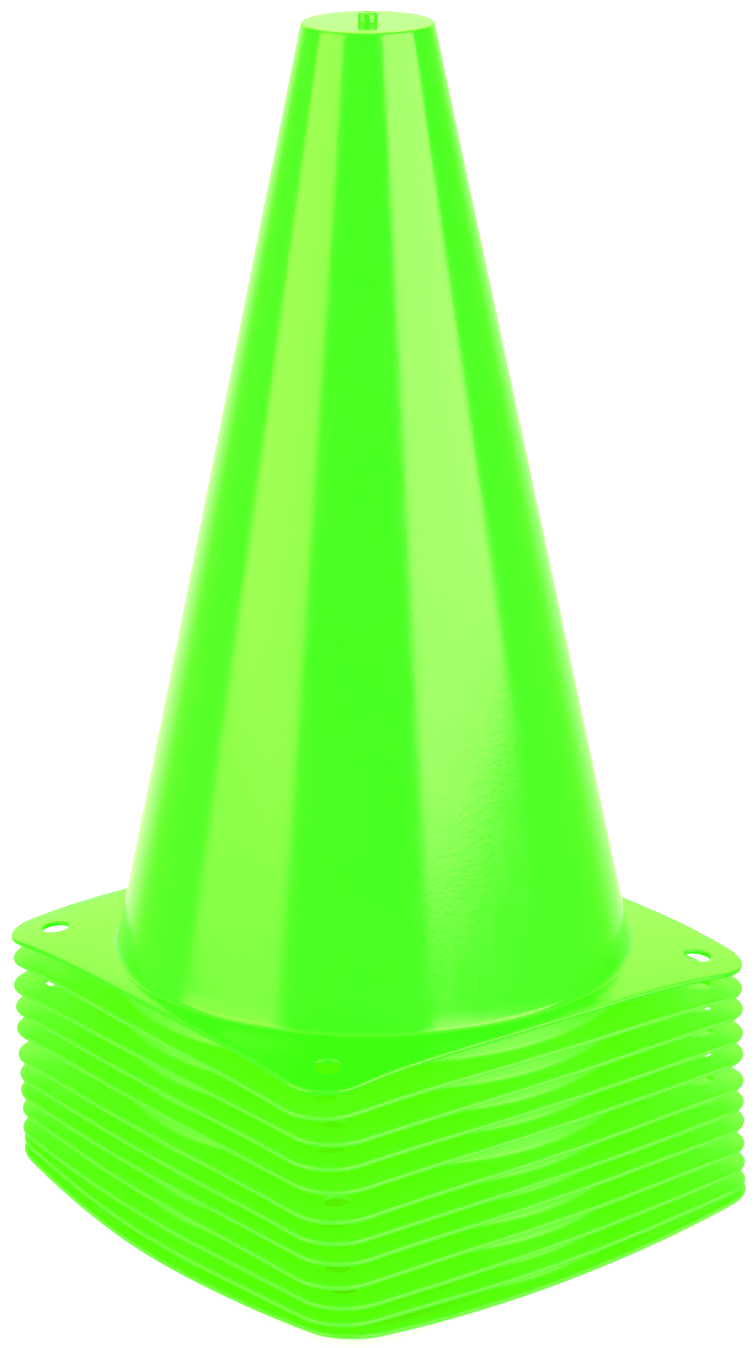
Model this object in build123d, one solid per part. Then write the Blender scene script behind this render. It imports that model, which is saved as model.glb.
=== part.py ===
"""A nested stack of twelve training cones.

Every cone is one thin plastic moulding: a tapered wall, a flat crown with a small
nub, and a square foot flange with a peg hole near each corner. The cones slip over
one another and are held only by their own weight.

Frame: millimetres, +Z up, origin on the floor under the middle of the stack, with the
top flange's sides along X and Y.
"""

from build123d import *

import os
from math import hypot, sqrt

# The stack, from the bottom cone up
RISES = (0.0, 5.4, 5.4, 6.2, 6.2, 5.4, 5.8, 7.4, 6.0, 6.5, 7.1, 7.9)  # above the cone below
TURNS = (2.0, 1.0, 1.2, 0.4, 0.9, 0.3, 0.6, 0.5, 0.1, 0.6, -0.6, 0.0)  # degrees
LEAN = 0.24  # how far each cone sits off the one below, towards -X, in the play of its wall
BOTTOM_X = 0.529  # the bottom cone's axis, with the origin under the middle of the whole stack

# One cone: the tapered wall and its crown
HEIGHT = 228.6  # flange top to crown
FOOT_R = 63.7  # outside, where the wall meets the flange
CROWN_R = 15.7
WALL = 0.7
CROWN_T = 1.2
FOOT_FILLET = 1.5
CROWN_FILLET = 0.7
NUB_R = 2.35
NUB_HEIGHT = 2.3
NUB_FILLET = 0.4

# The square foot flange
SIDE = 136.5
CORNER_R = 12.0
FLANGE_T = 1.2
PEG_HOLE_R = 3.25
PEG_HOLE_SPACING = 113.6  # along a side

# The flange's corners: the bottom cone's are curled up, and each cone passes a share of the
# curl on to the next. The top cone's hang free, and share their droop downwards likewise.
# Direction in degrees: tip's own height, curl at the bottom and its share passed up, droop
# at the top and its share passed down.
CORNERS = {
    45: (-0.4, 6.0, 0.75, 2.4, 0.25),
    135: (-0.4, 10.6, 0.7, 2.4, 0.25),
    225: (-0.3, 4.9, 0.5, 2.4, 0.25),
    315: (0.9, 3.9, 0.45, 3.6, 0.45),
}
BEND_START = 66.5  # from the axis, along a diagonal
BEND_EASE = 5.0  # over about twice this length the level sheet turns into a straight slope

FLAP_HALF_WIDTH = 36.0
TRIM_MARGIN = 3.0  # how far a flap is made past the corner that trims it
PRISM_REACH = 30.0  # above and below the flange, for trimming and drilling

TAPER = (FOOT_R - CROWN_R) / HEIGHT  # radius lost per millimetre of height
WALL_ACROSS = WALL * hypot(1, TAPER)  # wall thickness measured level
CROWN_Z = FLANGE_T + HEIGHT
TIP = SIDE / sqrt(2) - CORNER_R * (sqrt(2) - 1)  # axis to a rounded corner's tip
FLAT_R = (FOOT_R + FOOT_FILLET + BEND_START) / 2  # the wall's own ring of flange


def inner_radius(z):
    return FOOT_R - (z - FLANGE_T) * TAPER - WALL_ACROSS


def fillet_corner(section, corner, radius):
    return fillet(section.vertices().sort_by_distance((*corner, 0))[0], radius)


def make_body():
    """The wall, the crown, the nub and the ring of flange round the foot."""
    ceiling = CROWN_Z - CROWN_T
    foot, shoulder = (FOOT_R, FLANGE_T), (CROWN_R, CROWN_Z)
    nub_edge = (NUB_R, CROWN_Z + NUB_HEIGHT)
    outline = Polyline(
        (inner_radius(0), 0),
        (FLAT_R, 0),
        (FLAT_R, FLANGE_T),
        foot,
        shoulder,
        (NUB_R, CROWN_Z),
        nub_edge,
        (0, nub_edge[1]),
        (0, ceiling),
        (inner_radius(ceiling), ceiling),
        close=True,
    )
    section = make_face(outline)
    section = fillet_corner(section, foot, FOOT_FILLET)
    section = fillet_corner(section, shoulder, CROWN_FILLET)
    section = fillet_corner(section, nub_edge, NUB_FILLET)
    return revolve(Plane.XZ * section, Axis.Z)


def make_flap(lift):
    """The sheet along +X past the bend: level at the bend, and lift higher at the tip."""
    knee = BEND_START + BEND_EASE
    end = TIP + TRIM_MARGIN
    end_lift = lift * (end - knee) / (TIP - knee)
    underside = Bezier((BEND_START, 0), (knee, 0), (end, end_lift))
    top = Bezier((end, end_lift + FLANGE_T), (knee, FLANGE_T), (BEND_START, FLANGE_T))
    edges = [underside, Line(underside @ 1, top @ 0), top, Line(top @ 1, underside @ 0)]
    return extrude(Plane.XZ * make_face(edges), FLAP_HALF_WIDTH, both=True)


def corner_lift(level, direction):
    """How far a corner's tip stands above its own flange's plane."""
    height, curl, curl_share, droop, droop_share = CORNERS[direction]
    below_top = len(RISES) - 1 - level
    return height + curl * curl_share**level - droop * droop_share**below_top


def make_flange(level):
    """The square sheet with bent corners, open where the wall's ring fills it."""
    across_bends = 2 * BEND_START
    plate = Rot(0, 0, 45) * extrude(Rectangle(across_bends, across_bends), FLANGE_T)
    flaps = [Rot(0, 0, way) * make_flap(corner_lift(level, way)) for way in CORNERS]
    prism = extrude(RectangleRounded(SIDE, SIDE, CORNER_R), PRISM_REACH, both=True)
    peg_holes = [
        place * Cylinder(PEG_HOLE_R, 2 * PRISM_REACH)
        for place in GridLocations(PEG_HOLE_SPACING, PEG_HOLE_SPACING, 2, 2)
    ]
    sheet = (plate + flaps) & prism
    return sheet - peg_holes - Cylinder(FLAT_R, 2 * PRISM_REACH)


def place_in_stack(level):
    return Pos(BOTTOM_X - LEAN * level, 0, sum(RISES[: level + 1])) * Rot(0, 0, TURNS[level])


def make_cone(level):
    return place_in_stack(level) * (make_body() + make_flange(level))


def main():
    os.makedirs("parts", exist_ok=True)
    for level in range(len(RISES)):
        export_step(make_cone(level), f"parts/cone_{level + 1:02d}.step")


main()
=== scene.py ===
from math import cos, hypot, pi, radians, sin, sqrt, tan

import bmesh
import bpy
import numpy as np
from mathutils import Matrix, Vector
from mathutils.geometry import delaunay_2d_cdt


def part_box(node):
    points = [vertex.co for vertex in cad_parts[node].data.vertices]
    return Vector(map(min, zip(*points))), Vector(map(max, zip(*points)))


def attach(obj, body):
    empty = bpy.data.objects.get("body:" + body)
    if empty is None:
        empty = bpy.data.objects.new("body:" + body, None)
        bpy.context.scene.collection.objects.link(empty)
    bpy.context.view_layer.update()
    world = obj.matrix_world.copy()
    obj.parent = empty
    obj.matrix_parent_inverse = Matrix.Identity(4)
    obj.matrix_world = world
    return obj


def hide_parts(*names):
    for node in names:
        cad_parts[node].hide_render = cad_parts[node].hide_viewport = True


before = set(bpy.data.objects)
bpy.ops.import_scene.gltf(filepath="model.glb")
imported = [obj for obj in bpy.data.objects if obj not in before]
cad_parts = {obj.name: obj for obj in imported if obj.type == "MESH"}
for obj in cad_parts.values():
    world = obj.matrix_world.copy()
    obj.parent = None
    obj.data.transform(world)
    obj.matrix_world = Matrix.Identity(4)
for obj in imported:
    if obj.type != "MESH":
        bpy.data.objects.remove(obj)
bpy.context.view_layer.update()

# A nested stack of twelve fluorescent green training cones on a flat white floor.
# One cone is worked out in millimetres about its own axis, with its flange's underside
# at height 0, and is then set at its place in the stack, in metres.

MM = 0.001

# The tapered wall and its crown
HEIGHT = 228.6
FOOT_R = 63.7
CROWN_R = 15.7
WALL = 0.7
CROWN_T = 1.2
FOOT_FILLET = 1.5
CROWN_FILLET = 0.8
INNER_FILLET = 0.9
NUB_R = 2.35
NUB_HEIGHT = 2.3
NUB_FILLET = 0.45
GATE_R = 0.8  # the dimple in the nub, where the plastic was fed in
GATE_DEPTH = 0.25
GATE_OUTLINE = ((0.5, 1.0), (1.0, 0.4), (1.4, 0.0))  # shares of its radius and of its depth

# The square foot flange
SIDE = 136.5
CORNER_R = 12.0
FLANGE_T = 1.2
PEG_HOLE_R = 3.25
PEG_HOLE_OFFSET = 56.8  # from the axis, along X and along Y
HOLE_ROUND = 0.35
FOOT_MARGIN = 0.4  # from the wall's foot fillet to where the free sheet begins

# How each cone lies in the stack, from the bottom one up
TURNS = (2.0, 1.0, 1.2, 0.4, 0.9, 0.3, 0.6, 0.5, 0.1, 0.6, -0.6, 0.0)  # degrees
# Direction in degrees: tip's own height, curl at the bottom and its share passed up, droop
# at the top and its share passed down.
CORNERS = {
    45: (-0.4, 6.0, 0.75, 2.4, 0.25),
    135: (-0.4, 10.6, 0.7, 2.4, 0.25),
    225: (-0.3, 4.9, 0.5, 2.4, 0.25),
    315: (0.9, 3.9, 0.45, 3.6, 0.45),
}
BEND_POWERS = (1.1, 2.0)  # how a corner's rise grows from foot to tip: bottom cone's, top cone's
SAG = 0.6  # of the middles of the flange's sides
RIPPLE = 0.12  # unevenness of the flange's edge
RIPPLE_REACH = 16.0  # it grows over this distance from the foot
OUT_OF_ROUND = 0.05  # of the wall, held to nothing at its foot and crown
HELD_BY_FOOT = 40.0  # up to this height over the flange
HELD_BY_CROWN = 30.0  # and down to this depth under the crown

# Mesh resolution
AROUND = 180  # points in a ring
WALL_STEP = 4.0
FILLET_STEPS = 5
FOOT_STEPS = 7
SHEET_STEP = 2.3
SIDE_POINTS = 48
CORNER_POINTS = 10
HOLE_POINTS = 28
HOLE_RINGS = (0.8, 1.9)  # how far outside a peg hole's rounded edge its rings of points lie
HOLE_CLEAR = 3.0  # how far from that edge the grid of points keeps
GRID_MARGIN = 0.5  # how many steps of the grid it keeps from the flange's own edges
RING_MARGIN = 0.5
SAME_POINT = 1e-7
RIM_STEPS = 6

TOP_LEVEL = len(TURNS) - 1
TAPER = (FOOT_R - CROWN_R) / HEIGHT
WALL_ACROSS = WALL * hypot(1, TAPER)
CROWN_Z = FLANGE_T + HEIGHT
NUB_Z = CROWN_Z + NUB_HEIGHT
TIP = SIDE / sqrt(2) - CORNER_R * (sqrt(2) - 1)
FLAT_R = FOOT_R + FOOT_FILLET + FOOT_MARGIN
RIM_R = FLANGE_T / 2

# Where the camera stands: its direction from the top cone's axis, turned from -Y
TOP_AXIS_X = -0.00211
CAMERA_TURN = radians(-37.2)
CAMERA_DISTANCE = 1.0654
CAMERA_HEIGHT = 0.4865
CAMERA_TILT = radians(18.05)
CAMERA_PAN = radians(0.075)
CAMERA_ROLL = radians(-0.34)
CAMERA_LENS = 122.84  # mm, on a sensor 36 mm high
CLIP_START = 0.01

# The plastic, whose emission is a painted glow
# Its emission strength sets how strong the painted glow is
PLASTIC_AND_PAINTED_GLOW = {"IOR": 1.51, "Emission Strength": 0.28}
OPEN_PAINTED_GLOW = (0.10, 0.4, 0.0, 1)  # painted glow of a surface in the open, standing in for the plastic's fluorescence
NESTED_PAINTED_GLOW = (0.28, 0.4, 0.0, 1)  # and a brighter painted glow between two cones, standing in for light let through the stacked sheets
PAINTED_GLOW_FULL_Z = 12.0  # up to here the outside of a nested wall takes on the full painted glow
PAINTED_GLOW_GONE_Z = 25.0  # and from here up none, so that a cone lifted clear looks like the top one
TONES = ((0.006, 0.93, 0.002, 1), (0.012, 0.96, 0.003, 1))  # at the two ends of the band
TONE_BAND = (0.3, 0.72)
TONE_NOISE = (30.0, 3.0)  # each noise's scale and detail
FLOW_NOISE = (1.0, 4.0)
GRAIN_NOISE = (900.0, 2.0)
FLOW_STRETCH = (420.0, 420.0, 9.0)  # draws the flow marks out along the wall
ROUGHNESS = (0.10, 0.22)
NESTED_DULLING = 0.3  # added to the roughness between two cones
GRAIN_STRENGTH = 0.12
GRAIN_DEPTH = 0.0002

# The floor
FLOOR_REACH = 6.0
FLOOR = {
    "Base Color": (0.93, 0.93, 0.93, 1),
    "Roughness": 0.9,
    "Specular IOR Level": 0.1,
    "Emission Color": (1, 1, 1, 1),
    "Emission Strength": 0.75,
}

# The strip boxes: name, turn from the camera's direction in degrees, low end, high end, width,
# radiance, and the blue share of its colour
STRIPS = (
    ("strip_left", -64, 0.14, 1.2, 0.86, 6.2, 0.26),
    ("strip_left_low", -64, 0.0, 0.14, 0.86, 3.8, 0.26),
    ("strip_right", 53.5, 0.14, 1.2, 1.12, 8.0, 0.42),
)
STRIP_DISTANCE = 1.0

# The surround: its strength for what it lights, then its look in gloss. A band is two cosines
# to one of the three directions named in reflected_surround, and a pair of strengths or of
# blue shares belongs to its two ends.
LIGHTING = 1.08
FRONT_BAND, FRONT_STRENGTHS = (-0.95, -0.3), (0.7, 0.52)  # far left, and the rest of the front
LOW_BAND, LOW_STRENGTHS = (-0.6, 0.6), (1.5, 1.05)  # left and right, low down behind the stack
RISE_BAND, HIGH_STRENGTH = (0.17, 0.32), 2.15  # from low down to higher up behind the stack
BEHIND_BAND = (-0.57, -0.82)  # from the front round to behind the stack
OVERHEAD_BAND, OVERHEAD_STRENGTH = (0.5, 0.85), 1.7
FRONT_BLUE = 0.2
BEHIND_BLUES = (0.66, 0.3)  # low down and higher up, over RISE_BAND
BEHIND_BLUE_BAND = (-0.57, -0.92)  # from the front round to behind the stack


# ---------------------------------------------------------------- one cone's mesh


class Surface:
    """The points and faces of one closed mesh, gathered ring by ring."""

    def __init__(self):
        self.points = []
        self.faces = []

    def add(self, points):
        first = len(self.points)
        self.points.extend(tuple(p) for p in points)
        return list(range(first, len(self.points)))

    def strip(self, ring, next_ring):
        """Quads between two closed rings with as many points."""
        for i in range(len(ring)):
            j = (i + 1) % len(ring)
            self.faces.append((ring[i], ring[j], next_ring[j], next_ring[i]))

    def strips(self, rings):
        for ring, next_ring in zip(rings, rings[1:]):
            self.strip(ring, next_ring)

    def fan(self, centre, ring):
        apex = self.add([centre])[0]
        for i in range(len(ring)):
            self.faces.append((apex, ring[i], ring[(i + 1) % len(ring)]))


def smoothstep(x):
    x = np.clip(x, 0.0, 1.0)
    return x * x * (3 - 2 * x)


def inner_radius(z):
    return FOOT_R - (z - FLANGE_T) * TAPER - WALL_ACROSS


def rounded(corner, before, after, radius, steps=FILLET_STEPS):
    """Points of a fillet in an (r, z) outline, at corner, between its two neighbours."""
    c, a, b = Vector(corner), Vector(before), Vector(after)
    to_a, to_b = (a - c).normalized(), (b - c).normalized()
    half = to_a.angle(to_b) / 2
    centre = c + (to_a + to_b).normalized() * radius / sin(half)
    start = c + to_a * radius / tan(half) - centre
    end = c + to_b * radius / tan(half) - centre
    sweep = start.angle_signed(end)
    turned = [Matrix.Rotation(-sweep * i / steps, 2) @ start for i in range(steps + 1)]
    return [tuple(centre + t) for t in turned]


def straight(start, end, step):
    """Evenly spaced points between start and end, without the ends."""
    start, way = np.array(start), np.array(end) - np.array(start)
    count = max(2, round(hypot(*way) / step))
    return [tuple(start + way * i / count) for i in range(1, count)]


def outer_outline():
    """(r, z) from the nub's middle out over the crown and down the wall to the flange."""
    nub_edge, nub_foot = (NUB_R, NUB_Z), (NUB_R, CROWN_Z)
    shoulder, foot = (CROWN_R, CROWN_Z), (FOOT_R, FLANGE_T)
    flange = (FLAT_R, FLANGE_T)
    dimple = [(GATE_R * out, NUB_Z - GATE_DEPTH * down) for out, down in GATE_OUTLINE]
    nub = rounded(nub_edge, (0, NUB_Z), nub_foot, NUB_FILLET)
    nub_root = rounded(nub_foot, nub_edge, shoulder, NUB_FILLET)
    crown_edge = rounded(shoulder, nub_foot, foot, CROWN_FILLET)
    foot_round = rounded(foot, shoulder, flange, FOOT_FILLET, FOOT_STEPS)
    crown = straight(nub_root[-1], crown_edge[0], WALL_STEP)
    wall = straight(crown_edge[-1], foot_round[0], WALL_STEP)
    return dimple + nub + nub_root + crown + crown_edge + wall + foot_round + [flange]


def inner_outline():
    """(r, z) from the flange's underside round the mouth and up the inside to the ceiling."""
    ceiling = CROWN_Z - CROWN_T
    flange, mouth = (FLAT_R, 0), (inner_radius(0), 0)
    top, middle = (inner_radius(ceiling), ceiling), (0, ceiling)
    mouth_round = rounded(mouth, flange, top, INNER_FILLET)
    top_round = rounded(top, mouth, middle, INNER_FILLET)
    wall = straight(mouth_round[-1], top_round[0], WALL_STEP)
    return [flange] + mouth_round + wall + top_round + [(top[0] / 2, ceiling)]


def wall_ring(r, z, level):
    """A ring of the wall, a little out of round between its foot and its crown."""
    around = np.arange(AROUND) * 2 * pi / AROUND
    free = smoothstep((z - FLANGE_T) / HELD_BY_FOOT) * smoothstep((CROWN_Z - z) / HELD_BY_CROWN)
    # Two waves round the wall, which fall differently on each cone
    uneven = np.sin(2 * around + level) + 0.6 * np.sin(3 * around + z / 60 + 2 * level)
    radius = r + OUT_OF_ROUND * free * uneven
    x, y = radius * np.cos(around), radius * np.sin(around)
    return np.column_stack([x, y, np.full(AROUND, z)])


def outline_loop():
    """The rounded square's plan points and outward normals, counter-clockwise."""
    inner = SIDE / 2 - CORNER_R
    points, normals = [], []
    for corner in range(4):
        turn = corner * pi / 2
        arc = [i / CORNER_POINTS * pi / 2 for i in range(CORNER_POINTS + 1)]
        rounds = [
            (inner + CORNER_R * cos(a), inner + CORNER_R * sin(a), cos(a), sin(a)) for a in arc
        ]
        steps = [inner - 2 * inner * i / SIDE_POINTS for i in range(1, SIDE_POINTS)]
        sides = [(x, SIDE / 2, 0.0, 1.0) for x in steps]
        for x, y, nx, ny in rounds + sides:
            points.append((x * cos(turn) - y * sin(turn), x * sin(turn) + y * cos(turn)))
            normals.append((nx * cos(turn) - ny * sin(turn), nx * sin(turn) + ny * cos(turn)))
    return np.array(points), np.array(normals)


def circle(centre, radius, count):
    angles = np.arange(count) * 2 * pi / count
    x, y = centre[0] + radius * np.cos(angles), centre[1] + radius * np.sin(angles)
    return np.column_stack([x, y])


def hole_centres():
    signs = ((1, 1), (-1, 1), (-1, -1), (1, -1))
    return [(PEG_HOLE_OFFSET * x_sign, PEG_HOLE_OFFSET * y_sign) for x_sign, y_sign in signs]


def inside_outline(points, inset):
    """Which plan points lie inside the rounded square by more than inset."""
    inner = SIDE / 2 - CORNER_R
    over = np.maximum(np.abs(points) - inner, 0)
    return np.hypot(over[:, 0], over[:, 1]) < CORNER_R - inset


def on_sheet(points, margin):
    """Which plan points lie on the flange, by more than margin from its edges."""
    on = inside_outline(points, RIM_R + margin)
    on &= np.hypot(points[:, 0], points[:, 1]) > FLAT_R + margin
    for centre in hole_centres():
        away = np.hypot(points[:, 0] - centre[0], points[:, 1] - centre[1])
        on &= away > PEG_HOLE_R + HOLE_ROUND + margin
    return on


def filling_points():
    """Points spread over the flange: a close grid, and rings round each peg hole."""
    rows = np.arange(-SIDE / 2, SIDE / 2, SHEET_STEP * sqrt(3) / 2)
    grid = [
        (x + (row % 2) * SHEET_STEP / 2, y)
        for row, y in enumerate(rows)
        for x in np.arange(-SIDE / 2, SIDE / 2, SHEET_STEP)
    ]
    ring_radii = [PEG_HOLE_R + HOLE_ROUND + gap for gap in HOLE_RINGS]
    clear = PEG_HOLE_R + HOLE_ROUND + HOLE_CLEAR
    grid = np.array(grid)
    for centre in hole_centres():
        grid = grid[np.hypot(grid[:, 0] - centre[0], grid[:, 1] - centre[1]) > clear]
    grid = grid[on_sheet(grid, SHEET_STEP * GRID_MARGIN)]
    rings = [circle(c, r, HOLE_POINTS) for c in hole_centres() for r in ring_radii]
    rings = [ring[on_sheet(ring, RING_MARGIN)] for ring in rings]
    return np.vstack([grid] + rings)


def flange_plan():
    """The flange in plan: points, triangles, and the point numbers of its edge loops."""
    outline, normals = outline_loop()
    loops = [circle((0, 0), FLAT_R, AROUND), outline - normals * RIM_R]
    loops += [circle(c, PEG_HOLE_R + HOLE_ROUND, HOLE_POINTS) for c in hole_centres()]
    numbers, edges, start = [], [], 0
    for loop in loops:
        ids = list(range(start, start + len(loop)))
        numbers.append(ids)
        edges += list(zip(ids, ids[1:] + ids[:1]))
        start += len(loop)
    points = np.vstack(loops + [filling_points()])
    filled = delaunay_2d_cdt([Vector(p) for p in points], edges, [], 0, SAME_POINT)
    found, triangles = np.array(filled[0]), np.array(filled[2])
    assert len(found) == len(points)
    middles = found[triangles].mean(axis=1)
    return found, triangles[on_sheet(middles, 0.0)], numbers


def corner_lift(level, direction):
    """How far a corner's tip stands above its own flange's plane."""
    height, curl, curl_share, droop, droop_share = CORNERS[direction]
    return height + curl * curl_share**level - droop * droop_share ** (TOP_LEVEL - level)


def sheet_height(points, level):
    """How far the flange stands above its own plane at these plan points."""
    radius = np.hypot(points[:, 0], points[:, 1])
    around = np.arctan2(points[:, 1], points[:, 0])
    low_power, high_power = BEND_POWERS
    power = low_power + (high_power - low_power) * (level / TOP_LEVEL) ** 2
    grown = np.clip((radius - FLAT_R) / (TIP - FLAT_R), 0, None) ** power
    height = np.zeros(len(points))
    for direction in CORNERS:
        toward = np.maximum(np.cos(around - radians(direction)), 0) ** 2
        height += corner_lift(level, direction) * toward * grown
    if level > 0:
        hanging = smoothstep((radius - FLAT_R) / (SIDE / 2 - FLAT_R))
        height -= SAG * np.cos(2 * around) ** 2 * hanging
    # Two waves round the flange, which fall differently on each cone
    uneven = np.sin(3 * around + 1.9 * level) + 0.7 * np.sin(7 * around + 2.7 * level)
    height += RIPPLE * uneven * smoothstep((radius - FLAT_R) / RIPPLE_REACH)
    return np.maximum(height, 0) if level == 0 else height  # the bottom one lies on the floor


def lifted(points, height, z):
    return np.column_stack([points, height + z])


def add_rim(surface, level, top, bottom):
    """The flange's full round edge, from the top sheet's loop to the bottom sheet's."""
    outline, normals = outline_loop()
    height = sheet_height(outline - normals * RIM_R, level)
    rings = [top]
    for step in range(1, RIM_STEPS):
        angle = pi / 2 - pi * step / RIM_STEPS
        out = outline + normals * RIM_R * (cos(angle) - 1)
        rings.append(surface.add(lifted(out, height, RIM_R + RIM_R * sin(angle))))
    surface.strips(rings + [bottom])


def add_hole_wall(surface, centre, level, top, bottom):
    """A peg hole's wall, with its two edges rounded."""
    height = sheet_height(circle(centre, PEG_HOLE_R + HOLE_ROUND, HOLE_POINTS), level)
    eased = 1 - sqrt(0.5)
    profile = [
        (eased, FLANGE_T - HOLE_ROUND * eased),
        (0, FLANGE_T - HOLE_ROUND),
        (0, HOLE_ROUND),
        (eased, HOLE_ROUND * eased),
    ]
    rings = [top]
    for out, z in profile:
        ring = circle(centre, PEG_HOLE_R + HOLE_ROUND * out, HOLE_POINTS)
        rings.append(surface.add(lifted(ring, height, z)))
    surface.strips(rings + [bottom])


def add_flange(surface, level, plan):
    """Both faces of the flange and all its edges; returns its two inner rings."""
    points, triangles, loops = plan
    height = sheet_height(points, level)
    top = surface.add(lifted(points, height, FLANGE_T))
    bottom = surface.add(lifted(points, height, 0))
    for triangle in triangles.tolist():
        surface.faces.append(tuple(top[i] for i in triangle))
        surface.faces.append(tuple(bottom[i] for i in reversed(triangle)))
    top_loops = [[top[i] for i in loop] for loop in loops]
    bottom_loops = [[bottom[i] for i in loop] for loop in loops]
    add_rim(surface, level, top_loops[1], bottom_loops[1])
    for i, centre in enumerate(hole_centres()):
        add_hole_wall(surface, centre, level, top_loops[2 + i], bottom_loops[2 + i])
    return top_loops[0], bottom_loops[0]


def cone_surface(level, plan):
    """One closed mesh, and how much of the painted glow between two cones each of its points
    takes.
    """
    surface = Surface()
    top_ring, bottom_ring = add_flange(surface, level, plan)
    outer = [surface.add(wall_ring(r, z, level)) for r, z in outer_outline()[:-1]]
    surface.strips(outer + [top_ring])
    surface.fan((0, 0, NUB_Z - GATE_DEPTH), outer[0])
    inner = [surface.add(wall_ring(r, z, level)) for r, z in inner_outline()[1:]]
    surface.strips([bottom_ring] + inner)
    surface.fan((0, 0, CROWN_Z - CROWN_T), inner[-1])
    # Painted light: faces that lie between two cones get a brighter emission, standing in for
    # light through the stacked sheets
    painted_glow = np.ones(len(surface.points))
    sheet, first_outer, first_inner = len(plan[0]), outer[0][0], inner[0][0]
    if level == TOP_LEVEL:  # only its flange's underside and its inside face another cone
        painted_glow[:sheet] = 0
        painted_glow[2 * sheet : first_inner] = 0
    else:
        heights = np.array([point[2] for point in surface.points[first_outer:first_inner]])
        risen = (heights - PAINTED_GLOW_FULL_Z) / (PAINTED_GLOW_GONE_Z - PAINTED_GLOW_FULL_Z)
        painted_glow[first_outer:first_inner] = 1 - smoothstep(risen)
    return surface, painted_glow


def add_object(name, data):
    added = bpy.data.objects.new(name, data)
    bpy.context.scene.collection.objects.link(added)
    return added


def make_cone(name, level, plan):
    """One cone's finished mesh, in its place in the stack."""
    surface, painted_glow = cone_surface(level, plan)
    mesh = bpy.data.meshes.new(name + "_shell")
    mesh.from_pydata(surface.points, [], surface.faces)
    # the share of painted glow at each point, carried to the material
    mesh.attributes.new("painted_glow", "FLOAT", "POINT").data.foreach_set("value", painted_glow)
    work = bmesh.new()
    work.from_mesh(mesh)
    bmesh.ops.recalc_face_normals(work, faces=work.faces)
    work.to_mesh(mesh)
    work.free()
    low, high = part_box(name)
    base = Vector(((low.x + high.x) / 2, (low.y + high.y) / 2, high.z - NUB_Z * MM))
    place = Matrix.Translation(base) @ Matrix.Rotation(radians(TURNS[level]), 4, "Z")
    mesh.transform(place @ Matrix.Scale(MM, 4))
    mesh.shade_smooth()
    return add_object(name + "_shell", mesh)


# ---------------------------------------------------------------- materials


def new_material(name, settings):
    """A material whose shader's sockets have these settings, with its shader, nodes and links."""
    material = bpy.data.materials.new(name)
    material.use_nodes = True
    nodes = material.node_tree.nodes
    shader = nodes["Principled BSDF"]
    for socket, value in settings.items():
        shader.inputs[socket].default_value = value
    return material, shader, nodes, material.node_tree.links


def noise(nodes, links, place, scale, detail):
    texture = nodes.new("ShaderNodeTexNoise")
    texture.inputs["Scale"].default_value = scale
    texture.inputs["Detail"].default_value = detail
    links.new(place, texture.inputs["Vector"])
    return texture.outputs["Fac"]


def blend(nodes, links, value, colours, band=(0.0, 1.0)):
    """A blend from one colour to another as the value passes through the band."""
    mixed = nodes.new("ShaderNodeValToRGB")
    for element, position, colour in zip(mixed.color_ramp.elements, band, colours):
        element.position = position
        element.color = colour
    links.new(value, mixed.inputs["Fac"])
    return mixed.outputs["Color"]


def cone_plastic():
    """Fluorescent green moulded polyethylene: satin gloss, faint flow marks, a fine grain, and a
    painted glow standing in for its fluorescence, brighter between two cones.
    """
    material, shader, nodes, links = new_material("cone_plastic", PLASTIC_AND_PAINTED_GLOW)
    place = nodes.new("ShaderNodeTexCoord").outputs["Object"]

    # Painted glow: emission that stands in for fluorescence, brighter between two cones where
    # light would come through the stacked sheets
    attribute = nodes.new("ShaderNodeAttribute")
    attribute.attribute_name = "painted_glow"
    painted_glow = attribute.outputs["Fac"]
    painted_glow_colour = blend(nodes, links, painted_glow, (OPEN_PAINTED_GLOW, NESTED_PAINTED_GLOW))
    links.new(painted_glow_colour, shader.inputs["Emission Color"])

    tone = noise(nodes, links, place, *TONE_NOISE)
    links.new(blend(nodes, links, tone, TONES, TONE_BAND), shader.inputs["Base Color"])

    stretched = nodes.new("ShaderNodeMapping")
    stretched.inputs["Scale"].default_value = FLOW_STRETCH
    links.new(place, stretched.inputs["Vector"])
    gloss = nodes.new("ShaderNodeMapRange")
    gloss.inputs["To Min"].default_value, gloss.inputs["To Max"].default_value = ROUGHNESS
    flow = noise(nodes, links, stretched.outputs["Vector"], *FLOW_NOISE)
    links.new(flow, gloss.inputs["Value"])
    dulled = nodes.new("ShaderNodeMath")
    dulled.operation = "MULTIPLY_ADD"
    dulled.inputs[1].default_value = NESTED_DULLING
    links.new(painted_glow, dulled.inputs[0])
    links.new(gloss.outputs["Result"], dulled.inputs[2])
    links.new(dulled.outputs["Value"], shader.inputs["Roughness"])

    bump = nodes.new("ShaderNodeBump")
    bump.inputs["Strength"].default_value = GRAIN_STRENGTH
    bump.inputs["Distance"].default_value = GRAIN_DEPTH
    links.new(noise(nodes, links, place, *GRAIN_NOISE), bump.inputs["Height"])
    links.new(bump.outputs["Normal"], shader.inputs["Normal"])
    return material


# ---------------------------------------------------------------- studio


def from_axis(turn, distance, height):
    """A point at a level angle from the camera's direction, positive to its right."""
    angle = CAMERA_TURN + radians(turn)
    return Vector((sin(angle) * distance, -cos(angle) * distance, height))


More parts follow.
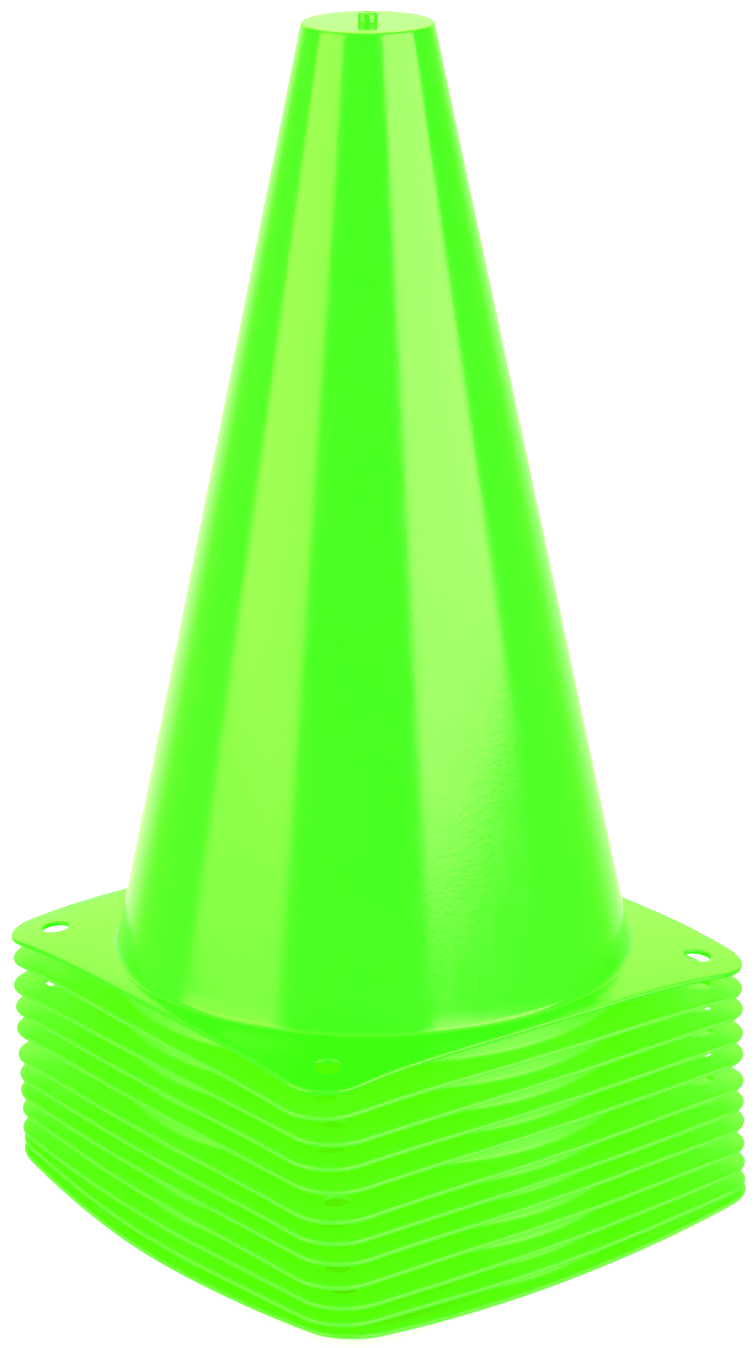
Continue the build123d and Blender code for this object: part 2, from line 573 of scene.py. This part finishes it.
def add_floor():
    """A flat floor, which shadows fall on but gloss doesn't show."""
    mesh = bpy.data.meshes.new("studio_floor")
    signs = ((-1, -1), (1, -1), (1, 1), (-1, 1))
    corners = [(FLOOR_REACH * x_sign, FLOOR_REACH * y_sign, 0) for x_sign, y_sign in signs]
    mesh.from_pydata(corners, [], [(0, 1, 2, 3)])
    mesh.materials.append(new_material("studio_floor", FLOOR)[0])
    floor = add_object("studio_floor", mesh)
    floor.visible_glossy = False


def add_strip(name, turn, low, high, width, radiance, blue):
    """A rectangular lamp that faces the stack's axis and shows only in gloss."""
    lamp = bpy.data.lights.new(name, "AREA")
    lamp.shape = "RECTANGLE"
    lamp.size, lamp.size_y = width, high - low
    lamp.energy = radiance * width * (high - low) * pi
    lamp.color = (1, 1, blue)
    box = add_object(name, lamp)
    box.location = from_axis(turn, STRIP_DISTANCE, (low + high) / 2)
    aim = Vector((0, 0, box.location.z)) - box.location
    box.rotation_euler = aim.to_track_quat("-Z", "Y").to_euler()
    box.visible_diffuse = False


def ramp(nodes, links, value, band, low, high):
    """A smooth step of a value, from low to high, either of which may be a socket too."""
    step = nodes.new("ShaderNodeMapRange")
    step.interpolation_type = "SMOOTHSTEP"
    step.inputs["From Min"].default_value, step.inputs["From Max"].default_value = band
    for name, given in (("Value", value), ("To Min", low), ("To Max", high)):
        if isinstance(given, bpy.types.NodeSocket):
            links.new(given, step.inputs[name])
        else:
            step.inputs[name].default_value = given
    return step.outputs["Result"]


def along(nodes, links, direction, axis):
    """The cosine between a direction and an axis, as a socket."""
    product = nodes.new("ShaderNodeVectorMath")
    product.operation = "DOT_PRODUCT"
    product.inputs[1].default_value = axis
    links.new(direction, product.inputs[0])
    return product.outputs["Value"]


def reflected_surround(nodes, links):
    """What gloss shows of the surround: dim in front, bright behind the stack and overhead."""
    direction = nodes.new("ShaderNodeTexCoord").outputs["Generated"]
    toward = along(nodes, links, direction, from_axis(0, 1, 0))
    side = along(nodes, links, direction, from_axis(90, 1, 0))
    height = along(nodes, links, direction, (0, 0, 1))
    front = ramp(nodes, links, side, FRONT_BAND, *FRONT_STRENGTHS)
    low = ramp(nodes, links, side, LOW_BAND, *LOW_STRENGTHS)
    behind = ramp(nodes, links, height, RISE_BAND, low, HIGH_STRENGTH)
    level = ramp(nodes, links, toward, BEHIND_BAND, front, behind)
    strength = ramp(nodes, links, height, OVERHEAD_BAND, level, OVERHEAD_STRENGTH)
    blue_behind = ramp(nodes, links, height, RISE_BAND, *BEHIND_BLUES)
    blue = ramp(nodes, links, toward, BEHIND_BLUE_BAND, FRONT_BLUE, blue_behind)
    colour = nodes.new("ShaderNodeCombineColor")
    colour.inputs["Red"].default_value = 1
    colour.inputs["Green"].default_value = 1
    links.new(blue, colour.inputs["Blue"])
    surround = nodes.new("ShaderNodeBackground")
    links.new(colour.outputs["Color"], surround.inputs["Color"])
    links.new(strength, surround.inputs["Strength"])
    return surround.outputs["Background"]


def add_world():
    """A white surround, neutral for what it lights, with its own look in reflections."""
    world = bpy.data.worlds.new("surround")
    bpy.context.scene.world = world
    world.use_nodes = True
    world.cycles.sampling_method = "NONE"
    nodes, links = world.node_tree.nodes, world.node_tree.links
    plain = nodes["Background"]
    plain.inputs["Color"].default_value = (1, 1, 1, 1)
    plain.inputs["Strength"].default_value = LIGHTING
    mix = nodes.new("ShaderNodeMixShader")
    links.new(nodes.new("ShaderNodeLightPath").outputs["Is Glossy Ray"], mix.inputs["Fac"])
    links.new(plain.outputs["Background"], mix.inputs[1])
    links.new(reflected_surround(nodes, links), mix.inputs[2])
    links.new(mix.outputs["Shader"], nodes["World Output"].inputs["Surface"])


def add_camera():
    camera = add_object("camera", bpy.data.cameras.new("camera"))
    camera.data.lens = CAMERA_LENS
    camera.data.clip_start = CLIP_START
    camera.location = from_axis(0, CAMERA_DISTANCE, CAMERA_HEIGHT) + Vector((TOP_AXIS_X, 0, 0))
    level = Matrix.Rotation(CAMERA_TURN - CAMERA_PAN, 3, "Z")
    tilt = Matrix.Rotation(pi / 2 - CAMERA_TILT, 3, "X")
    roll = Matrix.Rotation(CAMERA_ROLL, 3, "Z")
    camera.rotation_euler = (level @ tilt @ roll).to_euler()
    bpy.context.scene.camera = camera


def add_studio():
    add_camera()
    add_floor()
    for strip in STRIPS:  # the left one goes on to the floor, in a second part
        add_strip(*strip)
    add_world()
    bpy.context.scene.view_settings.view_transform = "Standard"


# ---------------------------------------------------------------- the stack


def build_stack():
    plan = flange_plan()
    plastic = cone_plastic()
    for level, name in enumerate(sorted(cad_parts)):
        cone = make_cone(name, level, plan)
        cone.data.materials.append(plastic)
        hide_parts(name)
        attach(cone, name)


add_studio()
build_stack()
